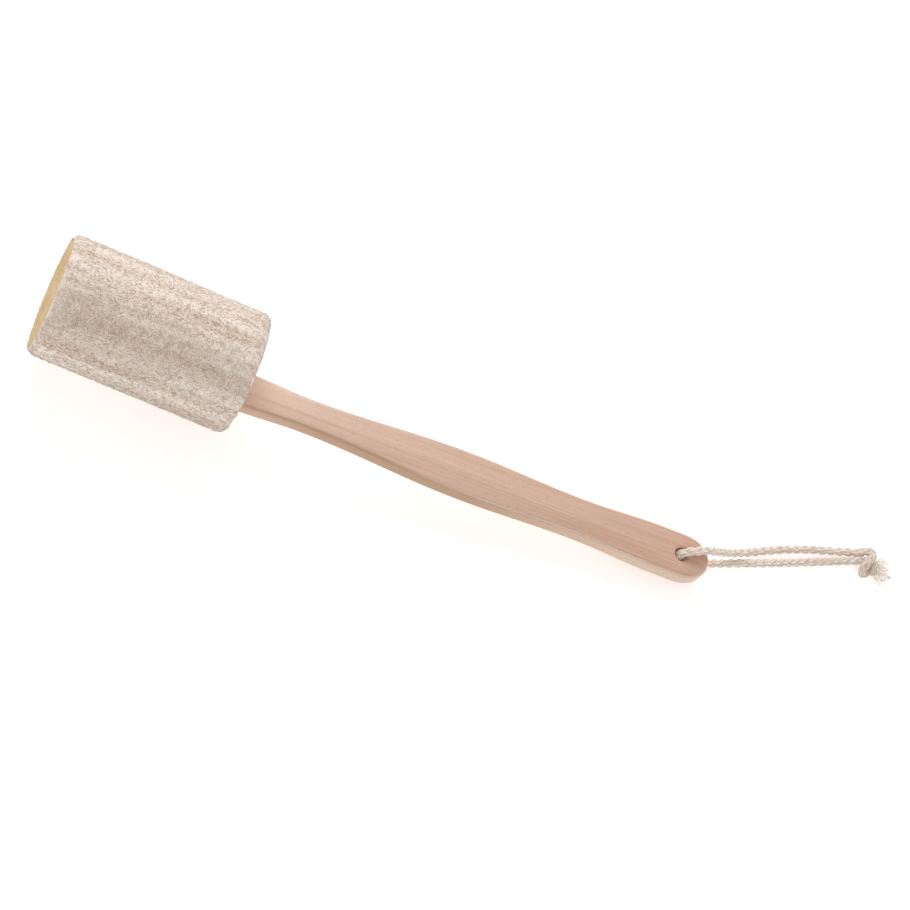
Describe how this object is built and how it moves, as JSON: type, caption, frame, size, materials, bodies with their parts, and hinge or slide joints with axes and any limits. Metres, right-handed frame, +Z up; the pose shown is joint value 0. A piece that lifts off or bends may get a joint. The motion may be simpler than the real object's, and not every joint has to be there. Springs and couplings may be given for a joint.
{
  "type": "loofah back scrubber",
  "caption": "Long-handled bath scrubber: a cylindrical foam head wrapped in a sewn loofah sleeve on a flat waisted wooden handle, with a knotted hanging cord looped through its tip.",
  "frame": {"origin": "middle of the scrubber's outline without its cord, on the floor it lies on", "axes": "+X along the handle from the head to the tip with the cord, +Y to the left of that, +Z up"},
  "size_m": [0.4797, 0.0715, 0.0695],
  "materials": {
    "wood": "smooth unvarnished beech",
    "foam": "matte open-cell foam with a thin loofah facing",
    "loofah": "matte tangled plant fibre",
    "thread": "matte cotton thread",
    "cord": "matte plaited cotton"
  },
  "bodies": {
    "scrubber": {"handle": "wood", "foam_core": "foam", "loofah_sleeve": "loofah", "seam_thread": "thread"},
    "hanging_loop": {"cord_upper": "cord", "cord_lower": "cord", "cord_knot": "cord", "frayed_end_upper": "cord", "frayed_end_lower": "cord"}
  },
  "joints": [
    {"name": "loop_swing", "type": "hinge", "parent": "scrubber", "child": "hanging_loop", "pos_m": [0.17211, -0.00881, 0.0113], "axis": [0, 0, 1], "range_deg": [-125, 83]}
  ]
}
